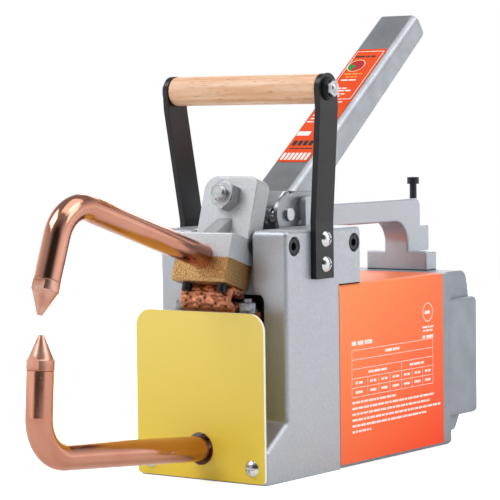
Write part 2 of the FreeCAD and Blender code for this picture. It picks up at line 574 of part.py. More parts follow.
def grip_bar():
    arch = [(94, 135, 0), (108, 135, 0), (108, HEAD_H, 0), (HEAD_END + 0.5, HEAD_H, 0), (HEAD_END + 1.5, GRIP_UNDER, 2),
            (228.7, GRIP_UNDER, 16), (228.7, FOOT_BASE, 0), (242.4, FOOT_BASE, 0), (242.4, FOOT_TOP, 0),
            (255.6, FOOT_TOP, 1), (255.6, 149, 1), (245.6, 149, 0), (245.6, GRIP_TOP, 6), (94, GRIP_TOP, 2)]
    body = side_plate(arch, -GRIP_HALF, GRIP_HALF)
    rim = [e for e in body.Edges if e.BoundBox.XLength < 0.01 and e.BoundBox.ZMin > 150 and e.BoundBox.YMax > FRONT_Y + 112
           and abs(abs(e.BoundBox.XMin) - GRIP_HALF) < 0.01]
    body = body.makeFillet(1.6, rim)
    foot = box(-24.9, 24.9, 228.7, 242.4, FOOT_BASE, FOOT_TOP)
    foot = foot.makeFillet(1.2, [e for e in foot.Edges if e.BoundBox.ZMax > FOOT_BASE + 1])
    lugs = []
    for s in (-1, 1):
        lug = side_plate([(75.6, 158.6, 0), (78.5, 158.4, 0), (82, 145, 0), (100, 145, 0), (100, 168.3, 0), (78.5, 168.9, 0)],
                         s * 8.2 - 2.4, s * 8.2 + 2.4)
        lug = lug.fuse(bar(at(s * 8.2 - 2.4, *FULCRUM), at(s * 8.2 + 2.4, *FULCRUM), 5.2))
        lug = lug.common(box(-20, 20, 60, LEVER_SLOT_BACK, 145, 175))
        lugs.append(lug)
    body = body.fuse([foot] + lugs)
    body = body.cut([cross_bar(20, FULCRUM, FULCRUM_R + 0.05), cross_bar(20, CROSS_SCREW, 3.0)])
    body = body.cut([bar(at(0, STOP_D, 120), at(0, STOP_D, 155), 2.56), bar(at(0, STOP_D, 136), at(0, STOP_D, 155), 4.7)])
    for s in (-1, 1):
        body = body.cut(bar(at(s * 17, 235.6, 110), at(s * 17, 235.6, 129), 2.5))
    return body


save("grip_bar", grip_bar())
save("foot_gasket", box(-24.4, 24.4, 229.2, 241.9, CASE_H, FOOT_BASE).cut(
    [bar(at(s * 17, 235.6, 110), at(s * 17, 235.6, 129), 2.5) for s in (-1, 1)]))
save("foot_screws", *[socket_screw(at(s * 17, 235.6, 111), Z_AXIS, 5, 4.25, 5, 12) for s in (-1, 1)])

STOP_TOP = 183.1
stop = socket_screw(at(0, STOP_D, STOP_TOP), Vec(0, 0, -1), 5, 4.25, 4.8, 60.0)
save("stop_screw", stop)
save("stop_collars", ring(at(0, STOP_D, 147.7), Z_AXIS, 4.4, 2.5, 1.3),
     hex_bar(at(0, STOP_D, 127.0), Z_AXIS, 8, 4.0).cut(bar(at(0, STOP_D, 120), at(0, STOP_D, 140), 2.5)))
save("stop_spring", spring(3.55, 0.9, 1.93, 5.4, at(0, STOP_D, 136.5), Z_AXIS))

# ---- case, label, gasket ------------------------------------------------------------------------


def case_section(half, z0, z1, r):
    return [(-half, z0, r), (half, z0, r), (half, z1, r), (-half, z1, r)]


case = front_plate(case_section(HALF_W, 0, CASE_H, 3), CASE_START, CASE_END)
case = case.cut(front_plate(case_section(HALF_W - SHEET, SHEET, CASE_H - SHEET, 1.5), CASE_START - 5, CASE_END + 5))
save("transformer_case", case)

skin = 0.2
label = front_plate([(-HALF_W - skin, 2.5, 0), (HALF_W + skin, 2.5, 0), (HALF_W + skin, CASE_H + skin, 3 + skin),
                     (-HALF_W - skin, CASE_H + skin, 3 + skin)], CASE_START + 0.4, LABEL_END)
label = label.cut(front_plate(case_section(HALF_W, 0, CASE_H, 3), CASE_START - 5, CASE_END + 5))
label = label.cut(box(-HALF_W, HALF_W, CASE_START - 5, HEAD_END + 3, CASE_H, CASE_H + 5))
save("case_label", label)
save("head_gasket", box(-47, 47, 84, HEAD_END + 2, CASE_H, 119.4))
save("core_rails", *[box(x0, x1, 96, 184, SHEET, 4) for x0, x1 in ((-44, -34), (34, 44))],
     *[box(x0, x1, 96, 184, 114, CASE_H - SHEET) for x0, x1 in ((-44, -34), (34, 44))])

# ---- rear cover ---------------------------------------------------------------------------------
WALL = 2.5
COVER_BACK = 246.0
BUMP_BACK = 259.5
TURRET_BACK = 258.0
TURRET_HALF = 13.0
SHOULDER_HALF = 45.0        # the cover is narrower above and below its bump


def plan(half, back, r, z0, z1, start=CASE_END):
    return flat_plate([(-half, start, 0), (half, start, 0), (half, back, r), (-half, back, r)], z0, z1)


def rear_cover():
    shoulder = side_plate([(CASE_END, 7.5, 0), (CASE_END, CASE_H, 0), (246.3, CASE_H, 8), (253, 99.8, 4), (256, 99.8, 0),
                           (256, 95, 0), (COVER_BACK, 95, 0), (COVER_BACK, 18.5, 0), (238.5, 18.5, 3), (232, 8.6, 4)],
                          -SHOULDER_HALF, SHOULDER_HALF)
    shoulder = shoulder.common(plan(SHOULDER_HALF, 256, 7, 0, 130))
    bump = plan(HALF_W, BUMP_BACK, 8, 18.5, 100)
    bump = bump.makeFillet(3.5, [e for e in bump.Edges if e.BoundBox.ZLength < 0.01 and e.BoundBox.YMax > FRONT_Y + CASE_END + 1])
    turret = box(-TURRET_HALF, TURRET_HALF, 240, TURRET_BACK, 98, CASE_H)
    turret = turret.makeFillet(2.0, [e for e in turret.Edges if e.BoundBox.ZMax > 99 and e.BoundBox.YMax > FRONT_Y + 245])
    pad = box(-25.6, 25.6, CASE_END, 244.4, 99, CASE_H)
    pad = pad.makeFillet(1.6, [e for e in pad.Edges if e.BoundBox.ZMax > 101 and e.BoundBox.YMax > FRONT_Y + 230
                               and not (e.BoundBox.XLength < 0.01 and e.BoundBox.ZLength < 0.01)])
    rim = front_plate(case_section(HALF_W - SHEET - 0.1, SHEET + 0.1, CASE_H - SHEET - 0.1, 1.4), CASE_END - 8, CASE_END + 2)
    pan = front_plate(case_section(HALF_W, 0.3, CASE_H, 3), CASE_END, CASE_END + 1.6)
    outer = shoulder.fuse([bump, turret, pad, pan, rim])
    inner = side_plate([(CASE_END - 9, 10.5, 0), (CASE_END - 9, CASE_H - WALL, 0), (COVER_BACK - WALL, CASE_H - WALL, 8),
                        (COVER_BACK - WALL, 11.1, 0)], -SHOULDER_HALF + WALL, SHOULDER_HALF - WALL)
    inner = inner.common(shoulder_room())
    inner_bump = plan(HALF_W - WALL, BUMP_BACK - WALL, 6, 18.5 + WALL, 100 - WALL, CASE_END - 9)
    mouth = front_plate(case_section(HALF_W - SHEET - WALL, SHEET + WALL, CASE_H - SHEET - WALL, 1), CASE_END - 9, CASE_END)
    inner_turret = box(-TURRET_HALF + 2.2, TURRET_HALF - 2.2, 241, TURRET_BACK - WALL, 90, CASE_H - WALL)
    cover = outer.cut([mouth, inner, inner_bump, inner_turret])
    cover = cover.cut([bar(at(0, STOP_D, 110), at(0, STOP_D, 125), 3.1)])
    cover = cover.cut([bar(at(0, 250, 45), at(0, 270, 45), 8.0)])
    for x, z, back in cover_screw_places():
        post = bar(at(x, CASE_END - 8, z), at(x, back - 1, z), 5.0)
        cover = cover.fuse(post.common(outer))
        cover = cover.cut([bar(at(x, CASE_END - 20, z), at(x, back + 5, z), 2.2), bar(at(x, back, z), at(x, back + 20, z), 5.2)])
    for s in (-1, 1):
        cover = cover.cut(bar(at(s * 17, 235.6, 110), at(s * 17, 235.6, 129), 2.5))
        cover = cover.cut(bar(at(s * 17, 235.6, 105), at(s * 17, 235.6, CASE_H - WALL), 4.6))
    return cover.removeSplitter()


def shoulder_room():
    return side_plate([(CASE_END - 9, 10.5, 0), (229, 10.5, 0), (237, 21, 0), (300, 21, 0), (300, 130, 0),
                       (CASE_END - 9, 130, 0)], -HALF_W, HALF_W)


def cover_screw_places():
    return [(-36, 106, COVER_BACK), (36, 106, COVER_BACK), (-36, 30, BUMP_BACK), (36, 30, BUMP_BACK)]


save("rear_cover", rear_cover())
cover_screws = []
for x, z, back in cover_screw_places():
    cover_screws.append(pan_screw(at(x, back, z), Vec(0, 1, 0), 4.4, 4.6, 2.6, back - CASE_END + 14))
save("cover_screws", *cover_screws)

gland = hex_bar(at(0, BUMP_BACK, 45), Vec(0, 1, 0), 24, 6)
gland = gland.fuse(bar(at(0, BUMP_BACK - 10, 45), at(0, BUMP_BACK + 8, 45), 8.0))
dome = Part.makeCone(11.0, 7.0, 12.0, at(0, BUMP_BACK + 6, 45), Vec(0, 1, 0))
gland = gland.fuse(dome).cut(bar(at(0, BUMP_BACK - 20, 45), at(0, BUMP_BACK + 30, 45), 4.5))
save("cable_gland", gland)
gland_nut = hex_bar(at(0, BUMP_BACK - WALL, 45), Vec(0, -1, 0), 22, 5).cut(
    bar(at(0, BUMP_BACK - 20, 45), at(0, BUMP_BACK + 30, 45), 8.0))
save("gland_nut", gland_nut)

# ---- trigger switch -----------------------------------------------------------------------------
switch = box(-TURRET_HALF + 2.2, TURRET_HALF - 2.2, 245.0, 255.5, 98.2, 114.2)
switch = switch.makeFillet(0.8, [e for e in switch.Edges if e.BoundBox.YLength > 9])
button_bore = bar(at(0, STOP_D, 110), at(0, STOP_D, 120), 1.9)
for x in (-7, 0, 7):
    switch = switch.fuse(box(x - 1.6, x + 1.6, 249.9, 250.5, 91.5, 98.2))
save("trigger_switch", switch.cut(button_bore))
save("switch_button", bar(at(0, STOP_D, 112.2), at(0, STOP_D, 118.1), 1.6))

# ---- carry handle -------------------------------------------------------------------------------
LEAN = math.atan2(61.7 - HANDLE[0], HANDLE[1] - 158)
TOP_R = STRAP_W / 2 * math.cos(LEAN)
side_outline = [(51.8, 124.4, 1), (71.6, 124.4, 1), (71.6, 158, 20),
                (HANDLE[0] + TOP_R * math.cos(LEAN), HANDLE[1] + TOP_R * math.sin(LEAN), 0),
                (HANDLE[0] - TOP_R * math.cos(LEAN), HANDLE[1] - TOP_R * math.sin(LEAN), 0), (51.8, 158, 20)]


def strap(side):
    flat = side_plate(side_outline, 40, 70).fuse(bar(at(40, *HANDLE), at(70, *HANDLE), TOP_R))
    bend = front_plate([(HALF_W, 120, 0), (HALF_W + STRAP_T, 120, 0), (HALF_W + STRAP_T, 160, 12),
                        (STRAP_TOP_IN + STRAP_T, 232, 12), (STRAP_TOP_IN + STRAP_T, 260, 0), (STRAP_TOP_IN, 260, 0),
                        (STRAP_TOP_IN, 232.4, 12), (HALF_W, 160.4, 12)], 30, 90)
    body = flat.common(bend)
    body = body.cut([bar(at(40, *HANDLE), at(70, *HANDLE), 3.0)] + [bar(at(40, 63.3, z), at(70, 63.3, z), 2.5)
                                                                    for z in (133.5, 149.4)])
    return body if side > 0 else body.mirror(Vec(), X_AXIS)


for side, name in ((-1, "strap_left"), (1, "strap_right")):
    save(name, strap(side))
save("strap_screws", *[pan_screw(at(s * (HALF_W + STRAP_T), 63.3, z), Vec(s, 0, 0), 5, 5.2, 3.0, 16)
                       for s in (-1, 1) for z in (133.5, 149.4)])

dowel = cross_bar(STRAP_TOP_IN, HANDLE, 9.5)
dowel = dowel.makeFillet(1.0, [e for e in dowel.Edges if e.BoundBox.XLength < 0.01])
save("wooden_handle", dowel.cut(cross_bar(70, HANDLE, 3.0)))
OUTER = STRAP_TOP_IN + STRAP_T
save("handle_rod", cross_bar(OUTER + 3.6, HANDLE, 3.0))
cups, nuts = [], []
for side in (-1, 1):
    out = Vec(side, 0, 0)
    cup = ring(at(side * OUTER, *HANDLE), out, 7.4, 3.0, 1.4).fuse(ring(at(side * OUTER, *HANDLE), out, 6.6, 5.4, 2.6))
    cups.append(cup)
    cap = hex_bar(at(side * (OUTER + 1.4), *HANDLE), out, 9.4, 3.6)
    cap = cap.fuse(Part.makeSphere(4.0, at(side * (OUTER + 2.6), *HANDLE)).common(
        bar(at(side * (OUTER + 4), *HANDLE), at(side * (OUTER + 8), *HANDLE), 6)))
    nuts.append(cap.cut(cross_bar(OUTER + 3.6, HANDLE, 3.0)))
save("handle_washers", *cups)
save("handle_nuts", *nuts)
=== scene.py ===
"""Hand-held spot welder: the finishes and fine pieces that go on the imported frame.

The sections follow the order in which the machine is put together.
"""
import math

import bpy
import numpy as np
from mathutils import Matrix, Vector


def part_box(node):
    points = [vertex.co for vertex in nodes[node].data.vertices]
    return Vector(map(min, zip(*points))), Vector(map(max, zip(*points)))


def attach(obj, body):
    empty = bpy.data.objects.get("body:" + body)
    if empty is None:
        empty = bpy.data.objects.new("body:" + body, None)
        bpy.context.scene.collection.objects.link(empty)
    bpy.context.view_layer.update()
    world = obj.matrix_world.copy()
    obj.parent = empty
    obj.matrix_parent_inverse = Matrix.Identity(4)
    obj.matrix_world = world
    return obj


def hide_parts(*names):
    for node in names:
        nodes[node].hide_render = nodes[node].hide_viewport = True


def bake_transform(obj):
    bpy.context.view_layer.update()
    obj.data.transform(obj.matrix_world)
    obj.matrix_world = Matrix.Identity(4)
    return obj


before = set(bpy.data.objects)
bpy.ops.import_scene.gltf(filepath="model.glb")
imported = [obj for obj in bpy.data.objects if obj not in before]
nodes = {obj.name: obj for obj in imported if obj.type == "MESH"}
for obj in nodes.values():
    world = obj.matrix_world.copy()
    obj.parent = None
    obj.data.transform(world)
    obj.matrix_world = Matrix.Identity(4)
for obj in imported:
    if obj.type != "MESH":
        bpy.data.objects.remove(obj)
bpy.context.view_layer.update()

# ---- camera ---------------------------------------------------------------------------------------
# A long lens in front of the machine's right-hand corner, just above the tongs and almost level.
LENS_MM = 165.8
SENSOR_MM = 36.0
NEAREST = 0.05
CAMERA_PLACE = (0.87607, -1.24412, 0.22531)
AZIMUTH = math.radians(36.372)
ELEVATION = math.radians(3.245)
ROLL = math.radians(-0.711)
backward = Vector((math.sin(AZIMUTH) * math.cos(ELEVATION), -math.cos(AZIMUTH) * math.cos(ELEVATION),
                   math.sin(ELEVATION)))
level_right = Vector((0, 0, 1)).cross(backward).normalized()
level_up = backward.cross(level_right)
right = level_right * math.cos(ROLL) + level_up * math.sin(ROLL)
up = level_up * math.cos(ROLL) - level_right * math.sin(ROLL)
lens = bpy.data.cameras.new("camera")
lens.lens = LENS_MM
lens.sensor_width = SENSOR_MM
lens.clip_start = NEAREST
lens.dof.use_dof = False
camera = bpy.data.objects.new("camera", lens)
camera.matrix_world = Matrix((right, up, backward)).transposed().to_4x4()
camera.location = CAMERA_PLACE
bpy.context.scene.collection.objects.link(camera)
bpy.context.scene.camera = camera
bpy.context.scene.view_settings.view_transform = "Standard"

# ---- studio ---------------------------------------------------------------------------------------
# A white table under a dim ceiling with broad soft boxes to the front left, right and rear.  The room is
# bright along its walls and dark behind the camera, which draws the dark lines along the metal bars.


def linear(colour):
    """Linear RGBA of an sRGB hex colour."""
    channels = [int(colour[i:i + 2], 16) / 255 for i in (1, 3, 5)]
    return [c / 12.92 if c <= 0.04045 else ((c + 0.055) / 1.055) ** 2.4 for c in channels] + [1.0]


def add_node(owner, kind, settings=None, links=None):
    """Adds one node; settings name its properties or unlinked inputs, links give what feeds its inputs."""
    node = owner.node_tree.nodes.new("ShaderNode" + kind)
    for key, value in (settings or {}).items():
        if isinstance(key, str) and hasattr(node, key):
            setattr(node, key, value)
        else:
            node.inputs[key].default_value = value
    for key, source in (links or {}).items():
        owner.node_tree.links.new(source, node.inputs[key])
    return node


def finish(name, colour, roughness, metallic=0.0, **sockets):
    """A material named for what it really is, with its flat values set on the shader."""
    material = bpy.data.materials.new(name)
    material.use_nodes = True
    shader = material.node_tree.nodes["Principled BSDF"]
    shader.inputs["Base Color"].default_value = linear(colour)
    shader.inputs["Roughness"].default_value = roughness
    shader.inputs["Metallic"].default_value = metallic
    for key, value in sockets.items():
        shader.inputs[key.replace("_", " ")].default_value = value
    material.diffuse_color = linear(colour)
    return material


def feed(material, socket, source):
    """Links a socket into the material's shader."""
    material.node_tree.links.new(source, material.node_tree.nodes["Principled BSDF"].inputs[socket])


TABLE_HALF = 1.5
TABLE_GLOW = 0.62
table_mesh = bpy.data.meshes.new("table")
table_corners = [(x * TABLE_HALF, y * TABLE_HALF, 0) for x, y in ((-1, -1), (1, -1), (1, 1), (-1, 1))]
table_mesh.from_pydata(table_corners, [], [(0, 1, 2, 3)])
table = bpy.data.objects.new("table", table_mesh)
bpy.context.scene.collection.objects.link(table)
white_table = finish("matt white table", "#F4F4F4", 0.8)
table_nodes = white_table.node_tree.nodes
table_ray = add_node(white_table, "LightPath")
table_lift = add_node(white_table, "Math", {"operation": "MULTIPLY", 1: TABLE_GLOW},
                      {0: table_ray.outputs["Is Camera Ray"]})
table_glow = add_node(white_table, "Emission", {"Color": linear("#FFFFFF")},
                      {"Strength": table_lift.outputs[0]})
table_sum = add_node(white_table, "AddShader", None, {0: table_nodes["Principled BSDF"].outputs[0],
                                                      1: table_glow.outputs[0]})
white_table.node_tree.links.new(table_sum.outputs[0], table_nodes["Material Output"].inputs["Surface"])
table_mesh.materials.append(white_table)


def soft_box(name, place, aim, width, height, watts):
    """A rectangular soft box at a place, facing a point."""
    light = bpy.data.lights.new(name, "AREA")
    light.shape = "RECTANGLE"
    light.size = width
    light.size_y = height
    light.energy = watts
    box = bpy.data.objects.new(name, light)
    box.location = place
    box.rotation_euler = (Vector(aim) - Vector(place)).to_track_quat("-Z", "Y").to_euler()
    bpy.context.scene.collection.objects.link(box)


soft_box("overhead_box", (0.6, 0.2, 2.0), (0, 0, 0.1), 1.6, 1.8, 15)
soft_box("key_box", (-1.1, -1.3, 2.1), (0, 0, 0.12), 1.9, 1.2, 32)
soft_box("right_box", (1.5, 0.5, 1.45), (0, 0.05, 0.1), 0.9, 1.4, 11)
soft_box("rear_box", (-0.8, 1.8, 1.1), (0, 0, 0.1), 1.2, 1.0, 9)

WALL_STRENGTH = 1.45
CEILING_STRENGTH = 0.34
DARK_TOWARD = (0.593, -0.804, 0.05)
DARK_STRENGTH = 0.06
room = bpy.data.worlds.new("studio room")
bpy.context.scene.world = room
room.use_nodes = True
room.node_tree.nodes.clear()
room_place = add_node(room, "TexCoord")
room_height = add_node(room, "SeparateXYZ", None, {"Vector": room_place.outputs["Generated"]})
room_grade = add_node(room, "MapRange", {"From Min": 0.02, "From Max": 0.6, "To Min": WALL_STRENGTH,
                                         "To Max": CEILING_STRENGTH}, {"Value": room_height.outputs["Z"]})
room_toward = add_node(room, "VectorMath", {"operation": "DOT_PRODUCT", 1: DARK_TOWARD},
                       {0: room_place.outputs["Generated"]})
room_dark = add_node(room, "MapRange", {"From Min": 0.58, "From Max": 0.85, "To Min": 1.0,
                                        "To Max": DARK_STRENGTH}, {"Value": room_toward.outputs["Value"]})
room_strength = add_node(room, "Math", {"operation": "MULTIPLY"},
                         {0: room_grade.outputs[0], 1: room_dark.outputs[0]})
room_light = add_node(room, "Background", {"Color": linear("#FFFFFF")},
                      {"Strength": room_strength.outputs[0]})
room_white = add_node(room, "Background", {"Color": linear("#FFFFFF"), "Strength": 1.0})
room_ray = add_node(room, "LightPath")
room_mix = add_node(room, "MixShader", None, {0: room_ray.outputs["Is Camera Ray"], 1: room_light.outputs[0],
                                              2: room_white.outputs[0]})
add_node(room, "OutputWorld", None, {"Surface": room_mix.outputs[0]})

# ---- front housing and grip bar -------------------------------------------------------------------
# Two aluminium castings under one coat of silver enamel with fine metal flake.  The coat is satin, a
# little uneven over the sand-cast skin, and it rounds off every edge so that edges catch the light.


def coords(material, stretch=(1, 1, 1)):
    """Object coordinates in metres, scaled up along an axis to draw a pattern shorter that way."""
    place = add_node(material, "TexCoord")
    if stretch == (1, 1, 1):
        return place.outputs["Object"]
    mapping = add_node(material, "Mapping", {"Scale": stretch}, {"Vector": place.outputs["Object"]})
    return mapping.outputs[0]


def noise(material, size, detail=2.0, stretch=(1, 1, 1)):
    """Cloudy noise whose patches are a size in millimetres."""
    node = add_node(material, "TexNoise", {"Scale": 1000.0 / size, "Detail": detail},
                    {"Vector": coords(material, stretch)})
    return node.outputs["Fac"]


def between(material, factor, low, high, start=0.3, end=0.7):
    """A colour that runs from one hex colour to another as the factor goes from start to end."""
    ramp = add_node(material, "MapRange", {"From Min": start, "From Max": end}, {"Value": factor})
    mix = add_node(material, "Mix", {"data_type": "RGBA", 6: linear(low), 7: linear(high)},
                   {0: ramp.outputs[0]})
    return mix.outputs[2]


def drift(material, low, high, size, detail=2.0, stretch=(1, 1, 1)):
    """Lets the base colour wander between two shades."""
    feed(material, "Base Color", between(material, noise(material, size, detail, stretch), low, high))


def uneven_gloss(material, low, high, size, stretch=(1, 1, 1)):
    """Lets the roughness wander between two values."""
    ramp = add_node(material, "MapRange", {"From Min": 0.3, "From Max": 0.7, "To Min": low, "To Max": high},
                    {"Value": noise(material, size, 3.0, stretch)})
    feed(material, "Roughness", ramp.outputs[0])


def skin(material, size, depth, edge=0.0, stretch=(1, 1, 1)):
    """A fine relief, size across and depth high in millimetres, on edges softened by a radius."""
    links = {"Height": noise(material, size, 3.0, stretch)}
    if edge:
        soft = add_node(material, "Bevel", {"samples": 4, "Radius": edge / 1000})
        links["Normal"] = soft.outputs[0]
    relief = add_node(material, "Bump", {"Strength": 1.0, "Distance": depth / 1000}, links)
    feed(material, "Normal", relief.outputs[0])


def paint(material, *names):
    """Gives CAD nodes a material."""
    for name in names:
        mesh = nodes[name].data
        mesh.materials.clear()
        mesh.materials.append(material)


silver_enamel = finish("silver flake enamel on cast aluminium", "#B4B8BF", 0.38, 0.5)
drift(silver_enamel, "#A8ACB3", "#BBBFC6", 0.9, 4.0)
uneven_gloss(silver_enamel, 0.3, 0.44, 0.7)
skin(silver_enamel, 1.1, 0.035, 0.8)
paint(silver_enamel, "front_housing", "grip_bar")

# ---- insulating board -----------------------------------------------------------------------------
# Two-millimetre laminate with a yellow gel face, satin, painted slightly deeper towards the foot and lighter
# at the top: painted shade for the light falling from above. The sawn edge shows the pale core.
yellow_board = finish("yellow faced laminate board", "#F0D350", 0.42)
board_place = add_node(yellow_board, "SeparateXYZ", None, {"Vector": coords(yellow_board)})
# Painted shade: the yellow face runs from a deeper shade at the foot to a lighter one at the top.
board_face_painted_shade = between(yellow_board, board_place.outputs["Z"], "#EFD035", "#F3D968", 0.0, 0.1)
board_facing = add_node(yellow_board, "NewGeometry")
board_normal = add_node(yellow_board, "SeparateXYZ", None, {"Vector": board_facing.outputs["Normal"]})
board_flat = add_node(yellow_board, "Math", {"operation": "ABSOLUTE"}, {0: board_normal.outputs["Y"]})
board_is_face = add_node(yellow_board, "Math", {"operation": "GREATER_THAN", 1: 0.7},
                         {0: board_flat.outputs[0]})
board_colour = add_node(yellow_board, "Mix", {"data_type": "RGBA", 6: linear("#F4F1DF")},
                        {0: board_is_face.outputs[0], 7: board_face_painted_shade})
feed(yellow_board, "Base Color", board_colour.outputs[2])
skin(yellow_board, 2.2, 0.01, 0.3)
paint(yellow_board, "insulating_plate")

# ---- bright screws --------------------------------------------------------------------------------
# Pan-head cross-recess screws of chromed steel.  Two hold the board to the housing, four the straps
# and four the rear cover.
chromed_steel = finish("chromed steel", "#D6D8DB", 0.14, 1.0)
uneven_gloss(chromed_steel, 0.1, 0.22, 3.0)
skin(chromed_steel, 2.5, 0.012, 0.25)
paint(chromed_steel, "plate_screws", "strap_screws", "cover_screws")

# ---- black screws ---------------------------------------------------------------------------------
# Socket-head cap screws of blackened steel, oily and half dull, in the head, the foot and both clamps.
# The trigger screw, which stops the lever, is one of them.
black_steel = finish("blackened steel", "#303136", 0.34, 0.7)
drift(black_steel, "#26272B", "#3C3D43", 1.2, 3.0)
skin(black_steel, 0.8, 0.02, 0.3)
paint(black_steel, "side_screws", "clamp_screws", "stop_screw", "lower_clamp_screws", "foot_screws")

# ---- pins and shafts ------------------------------------------------------------------------------
# The rocker's shaft, the lever's pivot and the two pins of the toggle, of ground steel with faint
# streaks along their length.
ground_steel = finish("ground steel", "#B9BCC2", 0.24, 1.0)
uneven_gloss(ground_steel, 0.18, 0.34, 2.0, (1, 8, 8))
skin(ground_steel, 0.6, 0.006, 0.3)
paint(ground_steel, "pivot_shaft", "fulcrum_pin", "link_pin", "toggle_pin")

# ---- tongs and tips -------------------------------------------------------------------------------
# Sixteen-millimetre drawn copper bar, bent cold and polished, with turned tips of chromium copper.
# Bright pink-brown metal with faint drawing lines and a warm brown tarnish in patches.
copper_bar = finish("polished drawn copper", "#CC8F77", 0.16, 1.0)
drift(copper_bar, "#BF8068", "#CB9480", 46.0, 2.0)
uneven_gloss(copper_bar, 0.1, 0.17, 9.0, (6, 1, 6))
skin(copper_bar, 1.6, 0.0012, 0.4, (5, 1, 5))
paint(copper_bar, "lower_tong", "upper_tong", "secondary_bar", "bus_plate")

tip_copper = finish("turned chromium copper", "#CE9A86", 0.34, 1.0)
drift(tip_copper, "#BC8068", "#DCB2A2", 9.0, 3.0)
skin(tip_copper, 0.5, 0.012, 0.3, (1, 1, 6))
paint(tip_copper, "lower_tip", "upper_tip")

# ---- clamps ---------------------------------------------------------------------------------------
# Sand-cast brass blocks, tumbled but not polished, with a sparkling coarse skin.
cast_brass = finish("tumbled cast brass", "#A8834A", 0.4, 0.95)
drift(cast_brass, "#7C5830", "#E2B67C", 0.8, 4.0)
uneven_gloss(cast_brass, 0.26, 0.55, 0.9)
skin(cast_brass, 0.9, 0.2, 0.6)
paint(cast_brass, "brass_clamp", "lower_clamp")

# ---- transformer ----------------------------------------------------------------------------------
# A stack of blue-grey silicon steel sheets between pressed fibre rails, with two taped windings.  The
# same fibre insulates the lower tong and its clamp.
core_steel = finish("stacked silicon steel sheet", "#5B5E63", 0.45, 0.8)
drift(core_steel, "#3F4247", "#6E7278", 1.6, 1.0, (40, 1, 1))
paint(core_steel, "transformer_core")
taped_coil = finish("varnished glass tape", "#C9A86A", 0.5)
drift(taped_coil, "#A98549", "#D9BC82", 5.0, 3.0)
skin(taped_coil, 4.0, 0.2)
paint(taped_coil, "primary_coils")
pressed_fibre = finish("pressed red-brown fibre", "#7B4A2C", 0.6)
drift(pressed_fibre, "#65391F", "#8C5836", 2.0, 4.0)
paint(pressed_fibre, "core_rails", "foot_bush", "clamp_insulator")

# ---- case -----------------------------------------------------------------------------------------
# Folded steel sheet and an aluminium rear casting in the same satin grey enamel.
grey_enamel = finish("satin grey enamel", "#8E949C", 0.42, 0.2)
drift(grey_enamel, "#868C94", "#969CA4", 18.0, 3.0)
uneven_gloss(grey_enamel, 0.36, 0.48, 1.2)
skin(grey_enamel, 1.3, 0.02, 0.6)
paint(grey_enamel, "transformer_case", "rear_cover")

# ---- printed film round the case ------------------------------------------------------------------
# Self-adhesive film round the case, its orange painted lighter at the top front and deeper at the bottom
# rear, a painted shade for the light falling from the front and above. The print on it comes next.
film_low, film_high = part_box("case_label")
orange_film = finish("laminated orange film", "#FF7648", 0.45, Specular_IOR_Level=0.22)
film_place = add_node(orange_film, "SeparateXYZ", None, {"Vector": coords(orange_film)})
film_along = add_node(orange_film, "MapRange",
                      {"From Min": film_low.y, "From Max": film_high.y, "To Max": 0.45},
                      {"Value": film_place.outputs["Y"]})
film_down = add_node(orange_film, "MapRange",
                     {"From Min": film_high.z, "From Max": film_low.z, "To Max": 0.55},
                     {"Value": film_place.outputs["Z"]})
# Painted shade: the orange is lighter at the top front and deeper towards the bottom rear.
film_painted_shade = add_node(orange_film, "Math", {"operation": "ADD"},
                     {0: film_along.outputs[0], 1: film_down.outputs[0]})
feed(orange_film, "Base Color", between(orange_film, film_painted_shade.outputs[0], "#FF9056", "#FF4C14", 0.05, 0.95))
skin(orange_film, 9.0, 0.02)
paint(orange_film, "case_label")


def mesh_piece(name, points, faces, material, body):
    """Makes an object at the origin from points and faces, and lets it ride on a body."""
    mesh = bpy.data.meshes.new(name)
    mesh.from_pydata([tuple(p) for p in points], [], [tuple(int(i) for i in f) for f in faces])
    mesh.materials.append(material)
    piece = bpy.data.objects.new(name, mesh)
    bpy.context.scene.collection.objects.link(piece)
    if body:
        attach(piece, body)
    return piece


def stripes(rectangles, place):
    """Points and faces of flat rectangles (u0, u1, v0, v1), put in space by a function of u and v."""
    corners = np.array(rectangles, float)
    u = corners[:, [0, 1, 1, 0]]
    v = corners[:, [2, 2, 3, 3]]
    return place(u, v).reshape(-1, 3), np.arange(u.size).reshape(-1, 4)


def words(u0, u1, v, height, seed):
    """A line of generic print: bars of uneven length with gaps, from u0 to u1 at height v."""
    spread = np.random.default_rng(seed)
    bars = []
    while u0 < u1 - height:
        end = min(u0 + height * spread.uniform(1.6, 5.0), u1)
        bars.append((u0, end, v - height / 2, v + height / 2))
        u0 = end + height * 0.55
    return bars


# ---- print on the film ----------------------------------------------------------------------------
# White screen print on both sides: a ruled table, lines of small print and a ring.  Bars of uneven
# length stand for words, so nothing is lettered.
INK = 0.00003
TABLE_Y = (film_low.y + 0.0136, film_low.y + 0.1124)
TABLE_Z = (0.0447, 0.0752)
TABLE_ROWS = 5
RULE = 0.00035
white_ink = finish("white screen ink", "#FFE9DF", 0.5)
drift(white_ink, "#FFDCCD", "#FFF3EC", 6.0)
row_z = np.linspace(TABLE_Z[1], TABLE_Z[0], TABLE_ROWS + 1)
split = TABLE_Y[0] + 0.6 * (TABLE_Y[1] - TABLE_Y[0])
columns = np.concatenate([TABLE_Y[0] + (split - TABLE_Y[0]) * np.array([0.0, 0.31, 0.53, 0.76]),
                          np.linspace(split, TABLE_Y[1], 4)])
case_print = [(TABLE_Y[0], TABLE_Y[1], z - RULE / 2, z + RULE / 2) for z in row_z]
case_print += [(y - RULE / 2, y + RULE / 2, row_z[-1], row_z[3]) for y in columns]
case_print += [(y - RULE / 2, y + RULE / 2, row_z[3], row_z[0]) for y in TABLE_Y]
case_print.append((split - RULE / 2, split + RULE / 2, row_z[3], row_z[2]))
middle = sum(TABLE_Y) / 2
title_z, heading_z = (row_z[0] + row_z[1]) / 2, (row_z[2] + row_z[3]) / 2
